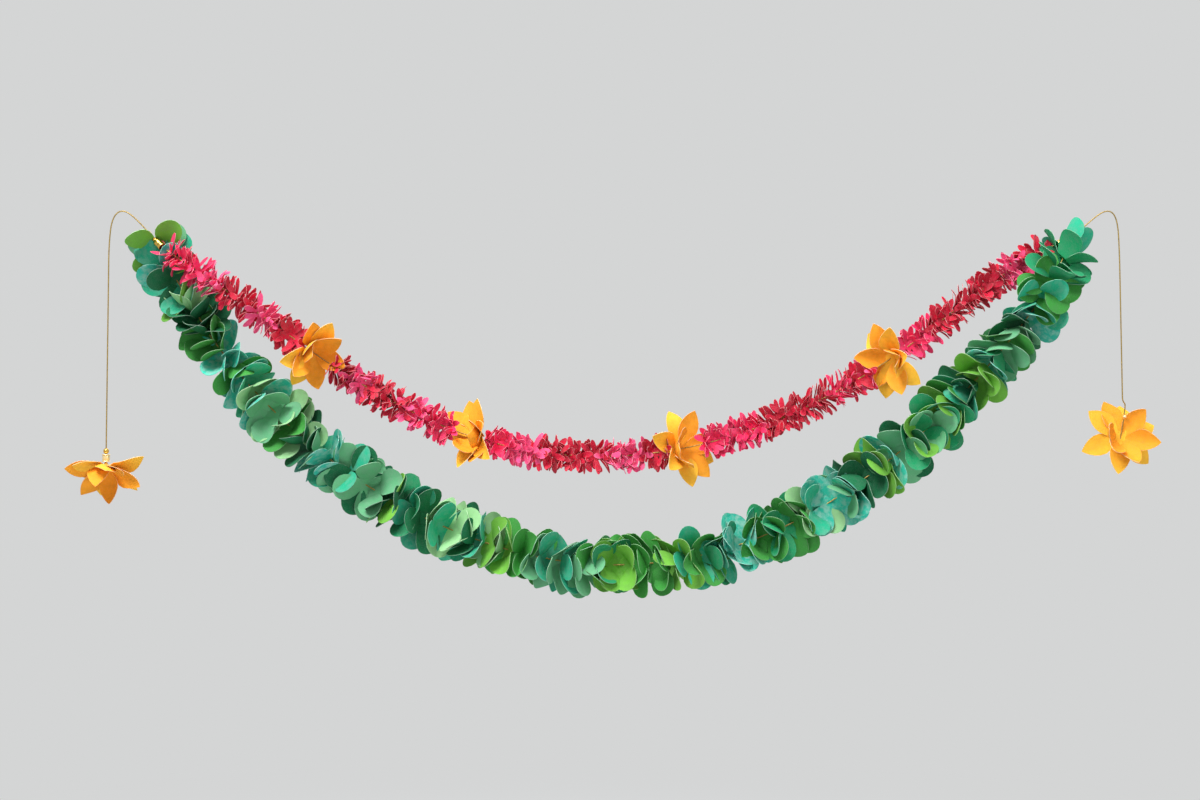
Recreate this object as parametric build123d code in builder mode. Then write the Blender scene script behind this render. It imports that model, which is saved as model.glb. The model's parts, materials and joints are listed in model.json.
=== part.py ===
"""Paper toran: two garlands of folded paper on gold cords, hung between two hooks.

The front garland is threaded with narrow-petalled florets and four flowers.
The back garland is threaded with four-lobed leaf rosettes.
At each side both cords meet in a crimp, and one cord runs on over the hook
and hangs down to a flower of its own.
The origin is where the left hook carries the cord. X runs to the right hook,
Y towards the wall behind, and Z up. Lengths are in millimetres.
"""
import os
from math import cos, pi, radians, sin, tan

from build123d import *

os.makedirs("parts", exist_ok=True)

# Hooks and strands
span = 916.0
green_sag = 310.0
pink_sag = 207.0
strand_depth = 15.0

# Cord: flat sides keep the long thin tubes light
cord_diameter = 1.2
cord_sides = 6
thread_clearance = 0.2
thread_hole = cord_diameter + 2 * thread_clearance
corner_share = 0.45
lead = 4.0

# Crimps that gather the cords
crimp_diameter = 3.6
crimp_length = 3.4
strand_pair_gap = 0.3

# Paper
paper = 0.4
layer_gap = 0.3

# Leaf rosettes of the green garland
leaf_count = 40
leaf_lobes = 4
leaf_hub = 6.0
leaf_reach = 29.0
leaf_outline_shares = [(0.5, 0.4), (1.0, 0.2)]
leaf_hole = 2.8
leaf_left_gap = 22.0
leaf_right_gap = 27.0
leaf_fold_angles = (18.0, 33.0)
leaf_lean_angle = 45.0
leaf_lean_step_angle = 15.0
leaf_end_lean_angle = 10.0
leaf_square_count = 3
leaf_square_fold_angle = 58.0
leaf_back_fold_angle = 46.0
leaf_back_turn_angle = 72.0
leaf_turn_angle = 40.0
leaf_first_angle = 42.5
leaf_pair = 2
leaf_bunch = 3

# Florets of the pink garland
floret_petals = 5
floret_hub = 4.0
floret_reach = 14.5
floret_outline_shares = [(1.0, 0.22)]
floret_counts = (6, 6, 7, 8, 7)
floret_fold_angles = (24.0, 50.0)
floret_turn_angle = 26.0
floret_left_gap = 27.0
floret_right_gap = 34.0
bunches_per_stretch = 3

# Flowers
flower_petals = 6
flower_hub = 5.0
flower_reach = 33.0
flower_outline_shares = [(0.45, 0.29), (1.0, 0.0)]
flower_place_shares = (0.192, 0.370, 0.566, 0.785)
flower_turn_angles = (10.0, 35.0, 0.0, 20.0)
flower_fold_angles = (28.0, 42.0)
flower_room = 21.0

# Bell beads at the ends of the pink strand
bell_length = 12.0
bell_start = 6.0
bell_collar_diameter = 5.0
bell_collar_length = 3.2
bell_diameter = 7.8
bell_wall = 0.7
bell_floor = 1.6

# Beads of the hanging cords
bead_gap = 0.2
round_bead_diameter = 5.4
barrel_bead_diameter = 8.0
barrel_bead_length = 7.0
small_bead_diameter = 3.6
small_bead_length = 3.2
pale_bead_diameter = 3.8
tail_tip = 3.8
bead_above_hub = 20.5
bead_below_hub = 15.0

# Hanging cords, from the crimp over the hook and down, each from its own hook
left_tail_route = [
    (25.0, 0.0, -20.0),
    (9.7, 0.0, -2.7),
    (-2.3, 0.0, 2.2),
    (-10.2, 0.0, -7.4),
    (-12.6, 0.0, -31.8),
    (-15.4, 0.0, -240.5),
]
right_tail_route = [
    (-28.4, 0.0, -20.4),
    (-10.6, 0.0, -3.1),
    (2.7, 0.0, 2.4),
    (9.6, 0.0, -8.2),
    (11.2, 0.0, -38.0),
    (14.0, 0.0, -175.8),
    (18.1, 0.0, -180.8),
    (7.4, 0.0, -234.0),
]

# Strands between the two crimps: share of the way across, of the depth and of the sag
green_route_shares = [
    (0.016, 0.80, 0.090),
    (0.090, 0.70, 0.430),
    (0.220, 0.20, 0.750),
    (0.375, 0.00, 0.958),
    (0.530, -0.10, 1.012),
    (0.690, -0.20, 0.895),
    (0.840, -0.40, 0.595),
    (0.945, -0.80, 0.260),
    (0.980, -0.80, 0.090),
]
pink_route_shares = [
    (0.022, -0.75, 0.086),
    (0.100, -0.80, 0.300),
    (0.232, -0.30, 0.700),
    (0.360, 0.00, 0.952),
    (0.500, 0.00, 1.022),
    (0.640, -0.20, 0.915),
    (0.780, -0.50, 0.632),
    (0.905, 0.40, 0.225),
    (0.966, 0.80, 0.068),
]


def tangent_radii(points):
    """The largest radius at each corner that its two runs allow."""
    radii = []
    for before, corner, after in zip(points, points[1:], points[2:]):
        arriving = corner - before
        leaving = after - corner
        shorter = min(arriving.length, leaving.length)
        half_turn = radians(arriving.get_angle(leaving) / 2)
        radii.append(corner_share * shorter / tan(half_turn))
    return radii


def rounded_path(name, points):
    """Straight runs joined by tangent arcs, as one wire."""
    radii = tangent_radii(points)
    print(name, "radii", [round(radius, 1) for radius in radii])
    with BuildLine() as path:
        FilletPolyline(*points, radius=radii)
    return path.wire()


def cord_along(name, path):
    """A cord swept along a path, in a node of its own."""
    with BuildPart() as cord:
        with BuildSketch(Plane(origin=path @ 0, z_dir=path % 0)) as section:
            RegularPolygon(cord_diameter / 2, cord_sides)
        sweep(path=path)
    swept = section.sketch.area * path.length
    print(name, "length", round(path.length, 1))
    print(name, "volume", round(cord.part.volume, 2), "against", round(swept, 2))
    cord.part.label = name
    export_step(cord.part, f"parts/{name}.step")


def square_to(path, distance, turn=0.0, backwards=False, lean=0.0):
    """The plane square to a path at a distance along it, or leaning to the front, for a piece there."""
    spot = path.position_at(distance, position_mode=PositionMode.LENGTH)
    along = path.tangent_at(distance, position_mode=PositionMode.LENGTH)
    if backwards:
        along = -along
    beside = Vector(0, 1, 0).cross(along)
    facing = along.rotate(Axis((0, 0, 0), beside), lean)
    return Plane(origin=spot, x_dir=beside.rotate(Axis((0, 0, 0), facing), turn), z_dir=facing)


def folded_rosette(lobes, hub, reach, outline_shares, fold, hole=thread_hole):
    """A die-cut rosette: a flat hub, with each lobe folded up along the hub's edge."""
    fold = radians(fold)
    half_edge = hub * tan(pi / lobes)
    rise = reach * sin(fold)
    edge = [(hub, half_edge)]
    for along, beside in outline_shares:
        edge.append((hub + reach * along * cos(fold), reach * beside))
    other_edge = [(x, -y) for x, y in reversed(edge) if y]
    under = [(0, 0), (hub, 0), (hub + reach * cos(fold), rise)]
    over = [
        (hub + reach * cos(fold) - paper * sin(fold), rise + paper * cos(fold)),
        (hub - paper * tan(fold / 2), paper),
        (0, paper),
    ]
    with BuildPart() as lobe:
        with BuildSketch(Plane.XZ):
            with BuildLine():
                Polyline(*under, *over, close=True)
            make_face()
        extrude(amount=reach, both=True)
        with BuildSketch():
            with BuildLine():
                Polyline((0, 0), *edge, *other_edge, close=True)
            make_face()
        extrude(amount=rise + paper, mode=Mode.INTERSECT)
    with BuildPart() as rosette:
        with PolarLocations(0, lobes):
            add(lobe.part)
        with BuildSketch():
            Rectangle(hole, hole)
        extrude(amount=paper, mode=Mode.SUBTRACT)
    return rosette.part


def threaded_bunch(name, threaded):
    """Separate rosettes threaded next to each other, kept in one node."""
    with BuildPart() as bunch:
        for rosette, place in threaded:
            with Locations(place):
                add(rosette)
    bunch.part.label = name
    export_step(bunch.part, f"parts/{name}.step")


def drilled_bead(name, place, diameter, length):
    """A turned bead that stands on its plane, with a hole for the cord."""
    with BuildPart() as bead:
        with BuildSketch(place):
            Circle(diameter / 2)
            Rectangle(thread_hole, thread_hole, mode=Mode.SUBTRACT)
        extrude(amount=length)
    bead.part.label = name
    export_step(bead.part, f"parts/{name}.step")


def bell_bead(name, place):
    """A bell-shaped cord end: a narrow collar over a cup that is open at its mouth."""
    with BuildPart() as bell:
        with BuildSketch(place):
            Circle(bell_collar_diameter / 2)
        extrude(amount=bell_collar_length)
        with BuildSketch(place.offset(bell_collar_length)):
            Circle(bell_diameter / 2)
        extrude(amount=bell_length - bell_collar_length)
        with BuildSketch(place.offset(bell_collar_length + bell_floor)):
            Circle(bell_diameter / 2 - bell_wall)
        extrude(amount=bell_length, mode=Mode.SUBTRACT)
        with BuildSketch(place):
            Rectangle(thread_hole, thread_hole)
        extrude(amount=bell_length, mode=Mode.SUBTRACT)
    bell.part.label = name
    export_step(bell.part, f"parts/{name}.step")


def crimp(name, centre, along):
    """The short metal crimp whose end faces meet the gathered cords."""
    with BuildPart() as sleeve:
        with BuildSketch(Plane(origin=centre - along * (crimp_length / 2), z_dir=along)):
            Circle(crimp_diameter / 2)
        extrude(amount=crimp_length)
    sleeve.part.label = name
    export_step(sleeve.part, f"parts/{name}.step")


# Crimps, with the direction in which the hanging cord leaves each
left_hook = Vector(0, 0, 0)
right_hook = Vector(span, 0, 0)
left_tail_points = [left_hook + Vector(*point) for point in left_tail_route]
right_tail_points = [right_hook + Vector(*point) for point in right_tail_route]
left_crimp_centre = left_tail_points[0]
right_crimp_centre = right_tail_points[0]
left_leaving = (left_tail_points[1] - left_crimp_centre).normalized()
right_leaving = (right_tail_points[1] - right_crimp_centre).normalized()
left_tail_points[0] = left_crimp_centre + left_leaving * (crimp_length / 2)
right_tail_points[0] = right_crimp_centre + right_leaving * (crimp_length / 2)
crimp("left_crimp", left_crimp_centre, left_leaving)
crimp("right_crimp", right_crimp_centre, right_leaving)

# Strand cords, which leave the other face of each crimp side by side
pair_offset = (cord_diameter + strand_pair_gap) / 2
strand_paths = {}
for strand, shares, sag, side in (
    ("green", green_route_shares, green_sag, 1),
    ("pink", pink_route_shares, pink_sag, -1),
):
    across = right_crimp_centre - left_crimp_centre
    left_face = left_crimp_centre - left_leaving * (crimp_length / 2) + Vector(0, side * pair_offset, 0)
    right_face = right_crimp_centre - right_leaving * (crimp_length / 2) - Vector(0, side * pair_offset, 0)
    points = [left_face, left_face - left_leaving * lead]
    for across_share, depth_share, sag_share in shares:
        points.append(
            left_crimp_centre
            + across * across_share
            + Vector(0, strand_depth * depth_share, -sag * sag_share)
        )
    points += [right_face - right_leaving * lead, right_face]
    strand_paths[strand] = rounded_path(f"{strand}_strand_cord", points)
    cord_along(f"{strand}_strand_cord", strand_paths[strand])

# Hanging cords
left_tail_path = rounded_path("left_tail_cord", left_tail_points)
right_tail_path = rounded_path("right_tail_cord", right_tail_points)
cord_along("left_tail_cord", left_tail_path)
cord_along("right_tail_cord", right_tail_path)

# Green garland: the first rosette opens back over the crimp, the next few stand square
# behind the florets, and the others lean more and more to the front
leaves = {}
for fold in (leaf_back_fold_angle, leaf_square_fold_angle, *leaf_fold_angles):
    leaves[fold] = folded_rosette(leaf_lobes, leaf_hub, leaf_reach, leaf_outline_shares, fold, leaf_hole)
green_path = strand_paths["green"]
leaf_pitch = (green_path.length - leaf_left_gap - leaf_right_gap) / (leaf_count - 1)
leaf_places = []
for index in range(leaf_count):
    distance = leaf_left_gap + index * leaf_pitch
    turn = leaf_first_angle + index // leaf_pair * leaf_turn_angle
    if index == 0:
        fold = leaf_back_fold_angle
        place = square_to(green_path, distance, leaf_back_turn_angle, backwards=True)
    elif index < leaf_square_count:
        fold = leaf_square_fold_angle
        place = square_to(green_path, distance, turn)
    else:
        fold = leaf_fold_angles[index % len(leaf_fold_angles)]
        lean = min(leaf_lean_angle, leaf_lean_step_angle * (index - leaf_square_count))
        if index == leaf_count - 1:
            lean = leaf_end_lean_angle
        place = square_to(green_path, distance, turn, lean=lean)
    leaf_places.append((leaves[fold], place))
for number, start in enumerate(range(0, leaf_count, leaf_bunch), 1):
    threaded_bunch(f"green_bunch_{number:02d}", leaf_places[start:start + leaf_bunch])

# Pink garland: florets in the stretches between the flowers
florets = {}
for fold in floret_fold_angles:
    florets[fold] = folded_rosette(floret_petals, floret_hub, floret_reach, floret_outline_shares, fold)
pink_path = strand_paths["pink"]
flower_places = [share * pink_path.length for share in flower_place_shares]
stretch_starts = [floret_left_gap] + [place + flower_room for place in flower_places]
stretch_ends = [place - flower_room for place in flower_places]
stretch_ends.append(pink_path.length - floret_right_gap)
floret_number = 0
bunch_number = 0
for start, end, count in zip(stretch_starts, stretch_ends, floret_counts):
    pitch = (end - start) / (count - 1)
    places = []
    for index in range(count):
        floret_number += 1
        fold = floret_fold_angles[floret_number % len(floret_fold_angles)]
        place = square_to(pink_path, start + index * pitch, floret_number * floret_turn_angle)
        places.append((florets[fold], place))
    for bunch in range(bunches_per_stretch):
        bunch_number += 1
        first = count * bunch // bunches_per_stretch
        last = count * (bunch + 1) // bunches_per_stretch
        threaded_bunch(f"pink_bunch_{bunch_number:02d}", places[first:last])

# Flowers: two layers of petals back to back, each folded away from the other
petals = {}
for fold in flower_fold_angles:
    petals[fold] = folded_rosette(flower_petals, flower_hub, flower_reach, flower_outline_shares, fold)
shallow_fold, deep_fold = flower_fold_angles
petal_turn = 180 / flower_petals


def flower(name, path, distance, turn, back_name, front_name):
    """The shallow layer opens back along the path and the deep one opens forward."""
    back = square_to(path, distance - layer_gap / 2, turn, backwards=True)
    front = square_to(path, distance + layer_gap / 2, turn + petal_turn)
    threaded_bunch(f"{name}_{back_name}", [(petals[shallow_fold], back)])
    threaded_bunch(f"{name}_{front_name}", [(petals[deep_fold], front)])


for number, (distance, turn) in enumerate(zip(flower_places, flower_turn_angles), 1):
    flower(f"flower_{number}", pink_path, distance, turn, "left_petals", "right_petals")

# Bell beads on the pink strand
bell_bead("left_bell_bead", square_to(pink_path, bell_start))
bell_bead("right_bell_bead", square_to(pink_path, pink_path.length - bell_start, backwards=True))

# Left hanging flower, under a stack of three beads
left_end = left_tail_path.length
left_hub = left_end - small_bead_length - layer_gap / 2 - paper - bead_gap
flower("left_tail_flower", left_tail_path, left_hub, 0.0, "upper_petals", "lower_petals")
stack = left_hub - layer_gap / 2 - paper - bead_gap
drilled_bead(
    "left_small_bead",
    square_to(left_tail_path, stack, backwards=True),
    small_bead_diameter,
    small_bead_length,
)
stack -= small_bead_length + bead_gap
drilled_bead(
    "left_barrel_bead",
    square_to(left_tail_path, stack, backwards=True),
    barrel_bead_diameter,
    barrel_bead_length,
)
stack -= barrel_bead_length + bead_gap
drilled_bead(
    "left_round_bead",
    square_to(left_tail_path, stack, backwards=True),
    round_bead_diameter,
    round_bead_diameter,
)
left_stop = left_hub + layer_gap / 2 + paper + bead_gap
drilled_bead(
    "left_stop_bead",
    square_to(left_tail_path, left_stop),
    small_bead_diameter,
    left_end - left_stop,
)

# Right hanging flower, with one bead above it and two below
right_end = right_tail_path.length
lower_bead = right_end - tail_tip - small_bead_length
middle_bead = lower_bead - bead_gap - small_bead_length
right_hub = middle_bead - bead_below_hub
flower("right_tail_flower", right_tail_path, right_hub, 0.0, "upper_petals", "lower_petals")
drilled_bead(
    "right_middle_bead",
    square_to(right_tail_path, middle_bead),
    small_bead_diameter,
    small_bead_length,
)
drilled_bead(
    "right_lower_bead",
    square_to(right_tail_path, lower_bead),
    small_bead_diameter,
    small_bead_length,
)
drilled_bead(
    "right_upper_bead",
    square_to(right_tail_path, right_hub - bead_above_hub),
    pale_bead_diameter,
    small_bead_length,
)
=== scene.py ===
"""Paper toran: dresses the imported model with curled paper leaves, florets and flowers.

The garlands hang on gold cords, with turned beads and plated cord ends.
All lengths are in metres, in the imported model's frame.
"""
import json
import random
from math import copysign, cos, pi, radians, sin, tan
from typing import NamedTuple

import bmesh
import bpy
from bpy.props import FloatProperty, FloatVectorProperty, IntProperty, PointerProperty
from mathutils import Matrix, Vector

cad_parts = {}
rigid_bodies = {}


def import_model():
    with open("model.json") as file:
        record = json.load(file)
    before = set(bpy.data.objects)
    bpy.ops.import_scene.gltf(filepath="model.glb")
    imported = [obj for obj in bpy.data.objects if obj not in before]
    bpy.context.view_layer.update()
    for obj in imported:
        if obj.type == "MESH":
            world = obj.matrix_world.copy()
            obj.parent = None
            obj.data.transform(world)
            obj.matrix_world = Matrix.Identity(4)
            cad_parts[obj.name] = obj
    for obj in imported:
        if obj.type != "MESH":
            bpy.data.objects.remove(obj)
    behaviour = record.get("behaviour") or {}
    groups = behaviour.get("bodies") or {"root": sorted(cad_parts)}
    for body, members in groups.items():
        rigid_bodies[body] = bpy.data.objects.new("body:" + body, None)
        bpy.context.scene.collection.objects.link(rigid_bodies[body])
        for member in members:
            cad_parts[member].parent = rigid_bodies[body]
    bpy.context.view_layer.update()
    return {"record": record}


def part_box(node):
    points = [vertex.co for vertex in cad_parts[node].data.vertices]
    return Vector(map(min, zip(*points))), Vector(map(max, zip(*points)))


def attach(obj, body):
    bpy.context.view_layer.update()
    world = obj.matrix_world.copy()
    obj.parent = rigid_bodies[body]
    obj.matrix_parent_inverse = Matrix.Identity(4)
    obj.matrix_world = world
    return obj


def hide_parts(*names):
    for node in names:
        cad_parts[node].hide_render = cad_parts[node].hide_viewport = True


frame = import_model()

bl_info = {
    "name": "Paper Toran",
    "version": (1, 0, 0),
    "blender": (4, 5, 0),
    "location": "View3D > Sidebar > Paper Toran",
    "description": "Builds a door garland of cut and folded paper on gold cords",
    "category": "Add Mesh",
}

RECORD = frame["record"]
SPAN = RECORD["mounts"][1]["pos_m"][0]
SLOT_OF_NODE = {entry["node"]: entry["material_slot"] for entry in RECORD["subparts"]}

# Routes of the hanging cords, each measured from its own hook
LEFT_TAIL_ROUTE = [
    (0.0250, 0.0, -0.0200),
    (0.0097, 0.0, -0.0027),
    (-0.0023, 0.0, 0.0022),
    (-0.0102, 0.0, -0.0074),
    (-0.0126, 0.0, -0.0318),
    (-0.0129, 0.0, -0.0563),
    (-0.0154, 0.0, -0.2405),
]
RIGHT_TAIL_ROUTE = [
    (-0.0284, 0.0, -0.0204),
    (-0.0106, 0.0, -0.0031),
    (0.0027, 0.0, 0.0024),
    (0.0096, 0.0, -0.0082),
    (0.0112, 0.0, -0.0380),
    (0.0118, 0.0, -0.0678),
    (0.0139, 0.0, -0.1693),
    (0.0140, 0.0, -0.1758),
    (0.0181, 0.0, -0.1808),
    (0.0074, 0.0, -0.2340),
]

# Strands: share of the way between the crimps, of the depth and of the sag
STRAND_DEPTH = 0.015
GREEN_SAG = 0.310
PINK_SAG = 0.207
GREEN_ROUTE_SHARES = [
    (0.016, 0.80, 0.090),
    (0.090, 0.70, 0.430),
    (0.220, 0.20, 0.750),
    (0.375, 0.00, 0.958),
    (0.530, -0.10, 1.012),
    (0.690, -0.20, 0.895),
    (0.840, -0.40, 0.595),
    (0.945, -0.80, 0.260),
    (0.980, -0.80, 0.090),
]
PINK_ROUTE_SHARES = [
    (0.022, -0.75, 0.086),
    (0.100, -0.80, 0.300),
    (0.232, -0.30, 0.700),
    (0.360, 0.00, 0.952),
    (0.500, 0.00, 1.022),
    (0.640, -0.20, 0.915),
    (0.780, -0.50, 0.632),
    (0.905, 0.40, 0.225),
    (0.966, 0.80, 0.068),
]

# Each strand leaves its crimp straight, one behind the other
STRAND_LEAD = 0.004
STRAND_PAIR_OFFSET = 0.00075

# How far each bell is from its end of the pink strand
BELL_PLACE = 0.006


class LobeStrays(NamedTuple):
    """How the lobes of one kind of paper differ: angles in degrees, and cups as shares of a half width."""
    fold: float
    curls: tuple
    cups: tuple
    twist: float


class FlowerLie(NamedTuple):
    """How a flower lies on its cord, in degrees.

    It faces away from the cord's direction, with 90 degrees to the viewer.
    The front fold is added to the petals in front and taken from those behind.
    """
    turn: float
    facing: float
    front_fold: float
    more_fold: float = 0


# Faces of one lobe, along it and across it
LEAF_GRID = (7, 4)
FLORET_GRID = (5, 2)
FLOWER_GRID = (8, 4)

# Leaf rosettes along the green strand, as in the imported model
LEAF_COUNT = 40
LEAF_BUNCH = 3
LEAF_LEFT_GAP = 0.022
LEAF_RIGHT_GAP = 0.027
LEAF_LOBES = 4

# Leaf papers: how mottled each one's wash is, and how often it is drawn
LEAF_PAPERS = (
    ("emerald", 0.10, 5),
    ("sea_green", 0.20, 5),
    ("deep_green", 0.05, 4),
    ("lime_green", 0.05, 3),
    ("grass_green", 0.05, 4),
    ("pale_sage", 0.10, 3),
    ("sage_green", 0.15, 3),
    ("teal_green", 0.70, 3),
)
LEAF_TONES = (0.82, 1.1)

# A nest is a few rosettes that lie much alike, some with a paper of their own. Angles are in degrees
LEAF_SEED = 11
LEAF_OWN_PAPER_CHANCE = 0.75
LEAF_NEST_COUNTS = (1, 4)
LEAF_NEST_TURN = 45
LEAF_NEST_TURN_STRAY = 30
LEAF_NEST_SWAY_STRAY = 18
LEAF_TURN_STRAY = 14
LEAF_SWAY_STRAY = 6
LEAF_HEADING_STEP = 0.9
LEAF_STRAYS = LobeStrays(fold=13, curls=(-44, 32), cups=(-0.1, 0.5), twist=18)

# The first rosettes face the viewer, and over the last two places they turn along the cord
LEAF_START_PAPERS = ("lime_green", "sage_green", "sea_green")
LEAF_START_FACING = radians(84)
LEAF_START_TURN = radians(46)
LEAF_START_TURN_STRAY = 7
LEAF_END_FACING = radians(20)
LEAF_END_PLACES = 2

# Florets along the pink strand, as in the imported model
FLORET_COUNTS = (6, 6, 7, 8, 7)
FLORET_LEFT_GAP = 0.027
FLORET_RIGHT_GAP = 0.034
FLORET_PETALS = 5
BUNCHES_PER_STRETCH = 3

# Near a flower the florets open away from it, within the clearing
FLORET_CLEARING = 0.018
FLORET_ASIDE = radians(20)

# A run is a few florets of one colour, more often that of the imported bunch. Angles are in degrees
FLORET_SEED = 5
FLORET_RUN_COUNTS = (3, 8)
FLORET_OWN_COLOUR_SHARES = 3
FLORET_TONES = (0.85, 1.1)
FLORET_WASH = 0.1
FLORET_NECK_SHARE = 0.6
FLORET_FOLDS = (4, 46)
FLORET_SWAY_STRAY = 16
FLORET_HEADING_STEP = 0.7
FLORET_STRAYS = LobeStrays(fold=16, curls=(-40, 40), cups=(0.0, 0.4), twist=25)

# Flowers of two layers: four on the pink strand, and one on each hanging cord. Angles are in degrees
FLOWER_PETALS = 6
FLOWER_SEED = 3
FLOWER_PLACE_SHARES = (0.192, 0.370, 0.566, 0.785)
FLOWER_LIES = (
    FlowerLie(turn=12, facing=60, front_fold=34),
    FlowerLie(turn=6, facing=116, front_fold=30),
    FlowerLie(turn=2, facing=60, front_fold=34),
    FlowerLie(turn=20, facing=124, front_fold=36),
)
LEFT_TAIL_LIE = FlowerLie(turn=14, facing=38, front_fold=20)
RIGHT_TAIL_LIE = FlowerLie(turn=30, facing=100, front_fold=24, more_fold=-14)
LEFT_HUB_OVER_STOP_BEAD = 0.0024
RIGHT_HUB_OVER_MIDDLE_BEAD = 0.0166
FLOWER_FACING_STRAY = 8
LAYER_OFFSETS = (-0.0005, 0.0005)
LAYER_STRAYS = (
    LobeStrays(fold=22, curls=(-55, 35), cups=(0.0, 0.6), twist=26),
    LobeStrays(fold=22, curls=(-20, 80), cups=(0.0, 0.6), twist=26),
)

# Stage: for each lamp its offset from the view's centre, its size and its power in watts
VIEW_CENTRE = Vector((0.4441, 0.0, -0.1750))
LAMPS = (
    ("key_lamp", (-0.6, -1.1, 1.7), 1.0, 60.0),
    ("top_lamp", (0.3, -0.2, 1.7), 1.6, 16.0),
    ("fill_lamp", (1.6, -1.7, 0.1), 1.8, 9.0),
    ("back_lamp", (0.0, 2.2, 1.0), 1.8, 9.0),
)
ROOM_COLOUR = (0.92, 0.96, 1.0)
ROOM_STRENGTH = 0.42
FLOOR_RADIUS = 6.0
FLOOR_FADE = (0.5, 1.6)

# Tints that are blended over the dye of the paper
WASH_TINT = (0.85, 0.95, 0.88)
GRAIN_TINT = (1.0, 1.0, 1.0)
SHADE_TINT = (0.0, 0.0, 0.0)
CUT_EDGE_TINT = (1.0, 1.0, 0.94)

# The sockets of a Mix node for its factor and its two colours, and of its mixed colour
MIX_SHARE = 0
MIX_FIRST = 6
MIX_SECOND = 7
MIXED_COLOUR = 2

# The line of each cord, under its node's name, once it is hung
CORDS = {}


def linear(red, green, blue):
    """A colour as a screen shows it, from 0 to 255, in the linear values that shading uses."""
    shares = [channel / 255 for channel in (red, green, blue)]
    return tuple(s / 12.92 if s <= 0.04045 else ((s + 0.055) / 1.055) ** 2.4 for s in shares)


class CordSettings(bpy.types.PropertyGroup):
    diameter: FloatProperty(
        name="Cord diameter", description="Thickness of the twisted gold thread",
        default=0.0012, min=0.0005, max=0.003, subtype="DISTANCE", unit="LENGTH")
    crimp_length: FloatProperty(
        name="Crimp length", description="Length of the crimps that gather the cords",
        default=0.0034, subtype="DISTANCE", unit="LENGTH")
    colour: FloatVectorProperty(
        name="Thread colour", description="Colour of the metallic thread",
        default=linear(196, 164, 92), size=3, min=0, max=1, subtype="COLOR")


class MetalSettings(bpy.types.PropertyGroup):
    gold: FloatVectorProperty(
        name="Gold", description="Colour of the plated beads and cord ends",
        default=linear(228, 184, 92), size=3, min=0, max=1, subtype="COLOR")
    pale_gold: FloatVectorProperty(
        name="Pale gold", description="Colour of the pale beads",
        default=linear(240, 222, 170), size=3, min=0, max=1, subtype="COLOR")
    bell_length: FloatProperty(
        name="Bell length", description="Length of the bell-shaped cord ends",
        default=0.012, subtype="DISTANCE", unit="LENGTH")


class LeafSettings(bpy.types.PropertyGroup):
    per_node: IntProperty(
        name="Rosettes for each solid", description="Leaf rosettes threaded for each one in the packed model",
        default=3, min=1, max=4)
    hub: FloatProperty(
        name="Hub", description="Half the width of the flat middle of a rosette",
        default=0.0055, subtype="DISTANCE", unit="LENGTH")
    reach: FloatProperty(
        name="Leaf length", description="Length of a leaf beyond its fold",
        default=0.0285, subtype="DISTANCE", unit="LENGTH")
    half_width: FloatProperty(
        name="Leaf half width", description="Half the width of a leaf where it is widest",
        default=0.0122, subtype="DISTANCE", unit="LENGTH")
    paper: FloatProperty(
        name="Paper thickness", description="Thickness of the leaf paper",
        default=0.0004, subtype="DISTANCE", unit="LENGTH")
    shallow_fold: FloatProperty(
        name="Shallow fold", description="Smallest angle that a leaf is folded up by",
        default=radians(15), subtype="ANGLE")
    deep_fold: FloatProperty(
        name="Deep fold", description="Largest angle that a leaf is folded up by",
        default=radians(42), subtype="ANGLE")
    front_fold: FloatProperty(
        name="Front fold", description="Further fold of a leaf that points to the front",
        default=radians(42), subtype="ANGLE")
    least_heading: FloatProperty(
        name="Least heading", description="Smallest angle by which a rosette faces away from the viewer",
        default=radians(13), subtype="ANGLE")
    more_heading: FloatProperty(
        name="More heading", description="Further angle by which the most turned rosettes face away",
        default=radians(36), subtype="ANGLE")
    emerald: FloatVectorProperty(
        name="Emerald", description="Colour of the emerald leaves",
        default=linear(20, 154, 98), size=3, min=0, max=1, subtype="COLOR")
    sea_green: FloatVectorProperty(
        name="Sea green", description="Colour of the sea green leaves",
        default=linear(32, 172, 132), size=3, min=0, max=1, subtype="COLOR")
    deep_green: FloatVectorProperty(
        name="Deep green", description="Colour of the deep green leaves",
        default=linear(10, 112, 68), size=3, min=0, max=1, subtype="COLOR")
    lime_green: FloatVectorProperty(
        name="Lime green", description="Colour of the lime green leaves",
        default=linear(112, 184, 60), size=3, min=0, max=1, subtype="COLOR")
    grass_green: FloatVectorProperty(
        name="Grass green", description="Colour of the grass green leaves",
        default=linear(62, 158, 62), size=3, min=0, max=1, subtype="COLOR")
    pale_sage: FloatVectorProperty(
        name="Pale sage", description="Colour of the pale sage leaves",
        default=linear(154, 210, 146), size=3, min=0, max=1, subtype="COLOR")
    sage_green: FloatVectorProperty(
        name="Sage green", description="Colour of the sage green leaves",
        default=linear(100, 178, 126), size=3, min=0, max=1, subtype="COLOR")
    teal_green: FloatVectorProperty(
        name="Teal green", description="Colour of the mottled teal green leaves",
        default=linear(44, 188, 162), size=3, min=0, max=1, subtype="COLOR")


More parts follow.
